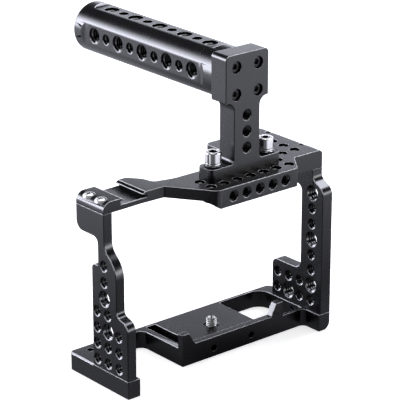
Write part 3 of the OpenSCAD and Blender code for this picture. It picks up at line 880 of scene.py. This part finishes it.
def thread_tree():
    """Geometry Nodes: one turn of thread, repeated down every tapped hole."""
    tree = bpy.data.node_groups.new("Tapped thread", "GeometryNodeTree")
    face = tree.interface
    face.new_socket(name="Mouths", in_out="INPUT", socket_type="NodeSocketGeometry")
    for label, kind, default in (
        ("Diameter", "NodeSocketFloat", 6.4 * MM),
        ("Pitch", "NodeSocketFloat", 1.27 * MM),
        ("Steps", "NodeSocketInt", 24),
        ("Metal", "NodeSocketMaterial", None),
    ):
        socket = face.new_socket(name=label, in_out="INPUT", socket_type=kind)
        if default is not None:
            socket.default_value = default
    face.new_socket(name="Threads", in_out="OUTPUT", socket_type="NodeSocketGeometry")
    times, minus = sums(tree)[::2]
    given = add(tree, "NodeGroupInput", (-1200, 0)).outputs

    # the ridge of one turn: a trapezoid whose wide side lies in the wall
    pitch = given["Pitch"]
    radius = minus(times(given["Diameter"], 0.5), times(pitch, 0.20))
    turn = add(tree, "GeometryNodeCurveSpiral", (-700, 300), {
        "Resolution": given["Steps"], "Rotations": 1.0,
        "Start Radius": radius, "End Radius": radius, "Height": pitch,
    })
    upright = add(tree, "GeometryNodeSetCurveNormal", (-500, 300), {0: turn.outputs[0]}, mode="Z_UP")
    ridge = add(tree, "GeometryNodeCurvePrimitiveQuadrilateral", (-700, 0), {
        "Height": times(pitch, 0.66), "Bottom Width": times(pitch, 0.96),
        "Top Width": times(pitch, 0.20), "Offset": 0.0,
    }, mode="TRAPEZOID")
    swing = add(tree, "GeometryNodeTransform", (-500, 0), {
        "Geometry": ridge.outputs[0], "Rotation": (0.0, 0.0, math.radians(RIDGE_TURN)),
    })
    sweep = add(tree, "GeometryNodeCurveToMesh", (-250, 200), {
        "Curve": upright.outputs[0], "Profile Curve": swing.outputs[0],
    })

    # a point for each turn of each hole, stepped down the hole's own direction
    way = add(tree, "GeometryNodeInputNamedAttribute", (-700, -400), {
        "Name": "way",
    }, data_type="FLOAT_VECTOR").outputs["Attribute"]
    turns = add(tree, "GeometryNodeInputNamedAttribute", (-700, -600), {
        "Name": "turns",
    }, data_type="INT").outputs["Attribute"]
    repeat = add(tree, "GeometryNodeDuplicateElements", (-400, -400), {
        "Geometry": given["Mouths"], "Amount": turns,
    }, domain="POINT")
    move = add(tree, "GeometryNodeSetPosition", (100, -400), {
        "Geometry": repeat.outputs["Geometry"],
        "Offset": scaled(tree, way, times(repeat.outputs["Duplicate Index"], pitch), (-150, -500)),
    })
    aim = add(tree, "FunctionNodeAlignRotationToVector", (100, -600), {"Vector": way}, axis="Z")
    place = add(tree, "GeometryNodeInstanceOnPoints", (350, 0), {
        "Points": move.outputs[0], "Instance": sweep.outputs[0], "Rotation": aim.outputs[0],
    })
    real = add(tree, "GeometryNodeRealizeInstances", (600, 0), {0: place.outputs[0]})
    weld = add(tree, "GeometryNodeMergeByDistance", (780, 0), {
        "Geometry": real.outputs[0], "Distance": 0.02 * MM,
    })
    finish = add(tree, "GeometryNodeSetMaterial", (960, 0), {
        "Geometry": weld.outputs[0], "Material": given["Metal"],
    })
    add(tree, "NodeGroupOutput", (1200, 0), {"Threads": finish.outputs[0]})
    return tree


def socket_id(tree, name):
    """Identifier of a tree's input, which is how a modifier knows it."""
    for item in tree.interface.items_tree:
        if item.item_type == "SOCKET" and item.in_out == "INPUT" and item.name == name:
            return item.identifier
    raise RuntimeError(f"{tree.name} has no input named {name}")


def thread_piece(name, tree, size, diameter, pitch, steps, metal):
    """All the turns of one thread size as one mesh on the cage."""
    points, ways, turns = [], [], []
    for place, way, kind, depth in tapped_holes():
        if kind != size:
            continue
        way = Vector(way)
        count = int((depth - THREAD_MARGIN - pitch) / pitch)
        spare = (depth - count * pitch) / 2
        points.append((Vector(place) + way * spare) * MM)
        ways.extend(way)
        turns.append(count)
    mesh = bpy.data.meshes.new(name + "_mouths")
    mesh.from_pydata([tuple(point) for point in points], [], [])
    mesh.attributes.new("way", "FLOAT_VECTOR", "POINT").data.foreach_set("vector", ways)
    mesh.attributes.new("turns", "INT", "POINT").data.foreach_set("value", turns)
    rough = link_object(name + "_rough", mesh)
    nodes = rough.modifiers.new("Threads", "NODES")
    nodes.node_group = tree
    values = {"Diameter": diameter * MM, "Pitch": pitch * MM, "Steps": steps, "Metal": metal}
    for label, value in values.items():
        nodes[socket_id(tree, label)] = value
    piece = crisp(settle(rough, name))
    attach(piece, BODY_OF["base_plate"])


# ---------- operators ----------


class CAGE_OT_plates(bpy.types.Operator):
    """Chamfers and finishes the base, the two arms and the top plate"""

    bl_idname = "camera_cage.plates"
    bl_label = "Machined Plates"

    def execute(self, context):
        metal = context.scene.cage_metal
        for node, share in MOUTH_SHARES.items():
            machined(node, metal.chamfer, anodised(), anodised_highlight_edge(), metal.mouth * share)
        return {"FINISHED"}


class CAGE_OT_handle(bpy.types.Operator):
    """Chamfers and finishes the handle's post and its round grip"""

    bl_idname = "camera_cage.handle"
    bl_label = "Top Handle"

    def execute(self, context):
        metal = context.scene.cage_metal
        for node in ("handle_post", "handle_grip"):
            machined(node, metal.chamfer, anodised(), anodised_highlight_edge(), metal.mouth)
        return {"FINISHED"}


class CAGE_OT_threads(bpy.types.Operator):
    """Cuts the accessory threads in every tapped hole"""

    bl_idname = "camera_cage.threads"
    bl_label = "Tapped Threads"

    def execute(self, context):
        size = context.scene.cage_threads
        tree = thread_tree()
        metal = anodised_thread()
        for name, kind, diameter, pitch in (
            ("quarter_inch_threads", "small", size.small_diameter, size.small_pitch),
            ("three_eighths_threads", "large", size.large_diameter, size.large_pitch),
        ):
            thread_piece(name, tree, kind, diameter, pitch, size.steps, metal)
        return {"FINISHED"}


def paint_socket_shade(bolt):
    """Painted shade in the hexagon of a bolt whose head is the top of its mesh, in the black oxide material.
    """
    mesh = bolt.data
    mesh.materials[1] = black_oxide_and_shade()
    spots = [vert.co for vert in mesh.vertices]
    top = max(spot.z for spot in spots)
    head = [spot for spot in spots if spot.z > top - MM]
    centre = sum(head, Vector()) / len(head)
    for polygon in mesh.polygons:
        away = polygon.center - centre
        inside = math.hypot(away.x, away.y) < SOCKET_REACH * MM and polygon.center.z > top - SOCKET_DEEP * MM
        polygon.material_index = int(inside and polygon.center.z < top - SOCKET_LIP * MM)


class CAGE_OT_bolts(bpy.types.Operator):
    """Plates the two handle bolts with their lock and flat washers"""

    bl_idname = "camera_cage.bolts"
    bl_label = "Handle Bolts"

    def execute(self, context):
        bright = nickel()
        for side in ("left", "right"):
            bolt = machined("handle_bolt_" + side, BOLT_WIDTH, bright, bright)
            paint_socket_shade(bolt)
            ring = machined("lock_washer_" + side, WASHER_WIDTH, bright, black_oxide_and_shade())
            # the lock washer's top and bottom take black oxide: painted shade in the gaps between bolt head
            # and washers
            for polygon in ring.data.polygons:
                polygon.material_index = int(abs(polygon.normal.z) > 0.5)
            # the flat washer's upward chamfers keep the nickel colour: a painted highlight line on the black
            # washer
            machined("flat_washer_" + side, WASHER_WIDTH, black_oxide_and_shade(), bright)
        return {"FINISHED"}


class CAGE_OT_camera_screw(bpy.types.Operator):
    """Builds the slotted camera screw with its thread, washer and clip"""

    bl_idname = "camera_cage.camera_screw"
    bl_label = "Camera Screw"

    def execute(self, context):
        bright = satin_nickel()
        dark = black_oxide_and_shade()
        low, high = mm_box("camera_screw")
        top = high.z
        pitch = context.scene.cage_threads.small_pitch
        major, minor, neck = 3.17, 2.55, 2.6
        foot = low.z + SCREW_HEAD[-1][1]
        rows = int((top - foot) / (pitch / 12))
        steps = 48
        shape = bmesh.new()
        rings = []
        for row in range(rows + 1):
            z = foot + (top - foot) * row / rows
            ring = []
            for i in range(steps):
                # a flat-topped thread over a plain shank, with the clip's groove in it
                wave = abs(((z / pitch - i / steps) % 1.0) * 2 - 1)
                radius = minor + (major - minor) * min(1.0, max(0.0, wave * 1.5 - 0.2))
                if z < -0.3:
                    radius = major
                if -1.45 < z < -0.6:
                    radius = neck
                # the tip narrows upwards
                radius = min(radius, 2.45 + (top - z) * 1.3)
                angle = 2 * math.pi * i / steps
                ring.append(shape.verts.new((radius * math.cos(angle), radius * math.sin(angle), z)))
            rings.append(ring)
        close_tube(shape, rings)
        stud = as_object(shape, "stud", [bright, dark])
        # thread roots and the clip's groove take black oxide: painted shade in the creases of the plated stud
        for polygon in stud.data.polygons:
            away = math.hypot(polygon.center.x, polygon.center.y) / MM
            polygon.material_index = int(away < minor + 0.12 and abs(polygon.normal.z) < 0.9)
        # the slot's walls take the cutter's black oxide: painted shade in the slot
        slot = as_object(tapered_bar((6, 0.5), (6, 0.5), top + 2, top - 2.6, 50), "slot", [dark])
        stud = crisp(cut_away(stud, slot))
        head = turned([(radius, low.z + rise) for radius, rise in SCREW_HEAD], 64)
        across = tapered_bar((9, 0.8), (9, 0.8), low.z + 1.3, low.z - 1, 0)
        head = cut_away(as_object(head, "head", [bright]), as_object(across, "across", [bright]))
        fasten(crisp(join([stud, crisp(head)], "camera_screw_dressed")), "camera_screw")
        for node in ("camera_screw_washer", "camera_screw_clip"):
            machined(node, SCREW_WIDTH, dark, dark)
        return {"FINISHED"}


class CAGE_OT_screws(bpy.types.Operator):
    """Finishes the cross-head screws and the small socket screws"""

    bl_idname = "camera_cage.screws"
    bl_label = "Assembly Screws"

    def execute(self, context):
        dark = black_oxide_and_shade()
        for node in ("grip_screws", "right_top_screws", "left_foot_screws", "right_foot_screws"):
            machined(node, SCREW_WIDTH, dark, dark)
        bright = satin_nickel()
        low, high = mm_box("left_top_screws")
        seat = high.z - PAN_HEAD[-1][1]
        heads = []
        for y in (low.y + 3.2, high.y - 3.2):
            profile = [(0, low.z), (1.35, low.z), (1.45, low.z + 0.3), (1.45, seat)]
            profile += [(radius, seat + rise) for radius, rise in PAN_HEAD]
            place = ((low.x + high.x) / 2, y, 0)
            head = as_object(turned(profile), "pan_head", [bright], place)
            # the cross recess takes the cutter's black oxide: painted shade in the recess of the plated head
            for turn in (25, 115):
                bar = tapered_bar((1.9, 0.5), (0.75, 0.30), seat + 2.6, seat + 0.7, turn)
                head = cut_away(head, as_object(bar, "cross", [dark], place))
            heads.append(head)
        fasten(crisp(join(heads, "left_top_screws_dressed"), 35), "left_top_screws")
        return {"FINISHED"}


class CAGE_OT_stage(bpy.types.Operator):
    """Sets the white floor, the soft lights, the surroundings and the camera"""

    bl_idname = "camera_cage.stage"
    bl_label = "Studio"

    def execute(self, context):
        stage = context.scene.cage_stage
        build_floor(stage)
        build_world()
        soft_light("front_strip", (0.60, -0.66, 0.11), 1.6, (1.1, 0.42), stage.front_strip)
        soft_light("top_light", (0.05, 0.10, 1.0), 1.5, (0.9, 0.9), stage.top_light)
        lens = bpy.data.cameras.new("camera")
        lens.lens = stage.lens
        lens.sensor_width = 36.0
        camera = bpy.data.objects.new("camera", lens)
        camera.location = CAMERA_PLACE
        camera.rotation_euler = [math.radians(turn) for turn in CAMERA_TURN]
        context.scene.collection.objects.link(camera)
        context.scene.camera = camera
        context.scene.view_settings.view_transform = "Standard"
        return {"FINISHED"}


def soft_light(name, toward, distance, size, power):
    """An area light that looks at the middle of the cage."""
    middle = (Vector(CAD_BOX[0]) + Vector(CAD_BOX[1])) / 2
    lamp = bpy.data.lights.new(name, "AREA")
    lamp.shape = "RECTANGLE"
    lamp.size, lamp.size_y = size
    lamp.energy = power
    made = bpy.data.objects.new(name, lamp)
    direction = Vector(toward).normalized()
    made.location = middle + direction * distance
    made.rotation_euler = direction.to_track_quat("Z", "Y").to_euler()
    made.visible_camera = False
    bpy.context.scene.collection.objects.link(made)


def facing(tree, direction, way, low, high, at=(0, 0)):
    """0 to 1 as the way turns towards a direction, from a low to a high cosine."""
    dot = add(tree, "ShaderNodeVectorMath", at, {0: way, 1: direction}, operation="DOT_PRODUCT")
    return add(tree, "ShaderNodeMapRange", (at[0] + 200, at[1]), {
        "Value": dot.outputs["Value"], "From Min": low, "From Max": high,
    }, interpolation_type="SMOOTHSTEP").outputs[0]


def ramp_of(tree, value, stops, at=(0, 0)):
    """A grey level for the value, from (place, level) stops."""
    ramp = add(tree, "ShaderNodeValToRGB", at, {0: value})
    band = ramp.color_ramp.elements
    while len(band) < len(stops):
        band.new(0.5)
    for element, (place, level) in zip(band, stops):
        element.position = place
        element.color = (level, level, level, 1)
    return ramp.outputs["Color"]


def first_mirror(tree, depth):
    """1 for what the metal mirrors directly, less for a mirror image of a mirror image."""
    ray = add(tree, "ShaderNodeLightPath", (-1200, -1100)).outputs
    again = math_node(tree, "GREATER_THAN", ray["Ray Depth"], depth)
    return all_but(tree, again, REPEAT_LOSS)


def mixed_shaders(tree, factor, first, second, at):
    """The first shader where the factor is 0, the second where it is 1."""
    return add(tree, "ShaderNodeMixShader", at, {0: factor, 1: first.outputs[0], 2: second.outputs[0]})


def build_floor(stage):
    """A pale floor, white to the camera, whose image in the metal is an emission with a painted shadow near
    the cage.
    """
    shape = bmesh.new()
    z = CAD_BOX[0][2] - 0.2 * MM
    shape.faces.new([shape.verts.new((x, y, z)) for x, y in ((-4, -4), (4, -4), (4, 4), (-4, 4))])
    mesh = bpy.data.meshes.new("floor")
    shape.to_mesh(mesh)
    shape.free()
    floor = link_object("floor", mesh)
    made = bpy.data.materials.new("pale_floor")
    made.use_nodes = True
    tree = made.node_tree
    tree.nodes.clear()
    times = sums(tree)[0]
    ray = add(tree, "ShaderNodeLightPath", (-300, -200)).outputs
    matt = add(tree, "ShaderNodeBsdfDiffuse", (0, 0), {"Color": (*stage.floor, 1)})
    lift = add(tree, "ShaderNodeEmission", (0, -200), {"Strength": times(ray["Is Camera Ray"], FLOOR_LIFT)})
    both = add(tree, "ShaderNodeAddShader", (300, 0), {0: matt.outputs[0], 1: lift.outputs[0]})

    # what the metal mirrors: a painted reflection of the floor with a painted shadow, darker near the cage
    # and on the camera's side
    place = add(tree, "ShaderNodeTexCoord", (-1000, -500)).outputs["Object"]
    far = add(tree, "ShaderNodeVectorMath", (-800, -500), {0: place}, operation="LENGTH")
    level = ramp_of(tree, far.outputs["Value"], FLOOR_LEVELS, (-500, -500))
    away = add(tree, "ShaderNodeVectorMath", (-1000, -700), {0: place, 1: FRONT_CORNER}, operation="SUBTRACT")
    flat = add(tree, "ShaderNodeVectorMath", (-800, -700), {0: away.outputs[0]}, operation="NORMALIZE")
    near_side = facing(tree, CAMERA_SIDE, flat.outputs[0], *FLOOR_NEAR_EDGE, (-600, -700))
    level = times(level, all_but(tree, near_side, FLOOR_NEAR_LOSS))
    level = times(times(level, FLOOR_GAIN * COOL_GAIN), first_mirror(tree, FLOOR_DEPTH))
    mirrored = add(tree, "ShaderNodeEmission", (0, -500), {"Color": COOL, "Strength": level})
    seen = mixed_shaders(tree, ray["Is Glossy Ray"], both, mirrored, (500, 0))

    # from below the floor isn't there, so the cage's underside can be looked at
    side = add(tree, "ShaderNodeNewGeometry", (500, 200)).outputs
    clear = add(tree, "ShaderNodeBsdfTransparent", (500, -200))
    shown = mixed_shaders(tree, side["Backfacing"], seen, clear, (750, 0))
    add(tree, "ShaderNodeOutputMaterial", (1000, 0), {"Surface": shown.outputs[0]})
    mesh.materials.append(made)


def build_world():
    """White to the camera; for the metal, a pale horizon and two soft windows in a dark room."""
    world = bpy.data.worlds.new("studio")
    bpy.context.scene.world = world
    world.use_nodes = True
    tree = world.node_tree
    tree.nodes.clear()
    times, plus = sums(tree)[:2]
    way = add(tree, "ShaderNodeTexCoord", (-1000, 0)).outputs["Generated"]
    height = add(tree, "ShaderNodeSeparateXYZ", (-800, 0), {0: way}).outputs["Z"]
    near_side = facing(tree, CAMERA_SIDE, way, *SKY_NEAR_EDGE, (-800, -300))
    far_side = facing(tree, FAR_SIDE, way, *SKY_FAR_EDGE, (-800, -500))
    level = ramp_of(tree, height, SKY_LEVELS, (-500, 0))
    level = times(level, all_but(tree, near_side, SKY_NEAR_LOSS))
    level = times(level, plus(SKY_BASE, far_side))

    # a tall soft window behind the cage's left end, fading out upwards
    level_way = add(tree, "ShaderNodeVectorMath", (-1000, -700), {0: way, 1: (1, 1, 0)}, operation="MULTIPLY")
    flat = add(tree, "ShaderNodeVectorMath", (-800, -700), {0: level_way.outputs[0]}, operation="NORMALIZE")
    across = facing(tree, WINDOW_SIDE, flat.outputs[0], *WINDOW_EDGE, (-600, -700))
    pane = times(across, ramp_of(tree, height, WINDOW_LEVELS, (-500, -900)))
    level = plus(level, times(pane, WINDOW_STRENGTH))

    # a small window high in front, for thin bright lines on the upper front edges
    pane = facing(tree, HIGH_WINDOW, way, *HIGH_EDGE, (-600, -1100))
    level = plus(level, times(pane, HIGH_STRENGTH))

    level = times(times(level, first_mirror(tree, SKY_DEPTH)), COOL_GAIN)
    room = add(tree, "ShaderNodeBackground", (200, -100), {"Color": COOL, "Strength": level})
    white = add(tree, "ShaderNodeBackground", (200, 100), {"Color": (1, 1, 1, 1), "Strength": 1.0})
    ray = add(tree, "ShaderNodeLightPath", (200, 400)).outputs
    shown = mixed_shaders(tree, ray["Is Camera Ray"], room, white, (550, 0))
    add(tree, "ShaderNodeOutputWorld", (800, 0), {"Surface": shown.outputs[0]})


class CAGE_PT_panel(bpy.types.Panel):
    """Shows the cage's settings and its operators in the sidebar"""

    bl_idname = "CAGE_PT_panel"
    bl_label = "Camera Cage"
    bl_space_type = "VIEW_3D"
    bl_region_type = "UI"
    bl_category = "Camera Cage"

    def draw(self, context):
        for label in SETTING_NAMES:
            box = self.layout.box()
            box.label(text=label.replace("_", " ").title())
            group = getattr(context.scene, label)
            for key in group.__annotations__:
                box.prop(group, key)
        for operator in OPERATORS:
            self.layout.operator(operator.bl_idname)


OPERATORS = (
    CAGE_OT_stage,
    CAGE_OT_plates,
    CAGE_OT_handle,
    CAGE_OT_threads,
    CAGE_OT_bolts,
    CAGE_OT_camera_screw,
    CAGE_OT_screws,
)


def register():
    for each in (*SETTINGS, *OPERATORS, CAGE_PT_panel):
        bpy.utils.register_class(each)
    for name, kind in zip(SETTING_NAMES, SETTINGS):
        setattr(bpy.types.Scene, name, bpy.props.PointerProperty(type=kind))


def unregister():
    for name in SETTING_NAMES:
        delattr(bpy.types.Scene, name)
    for each in reversed((*SETTINGS, *OPERATORS, CAGE_PT_panel)):
        bpy.utils.unregister_class(each)


def main():
    register()
    bpy.ops.camera_cage.stage()
    bpy.ops.camera_cage.plates()
    bpy.ops.camera_cage.handle()
    bpy.ops.camera_cage.threads()
    bpy.ops.camera_cage.bolts()
    bpy.ops.camera_cage.camera_screw()
    bpy.ops.camera_cage.screws()


if __name__ == "__main__":
    main()
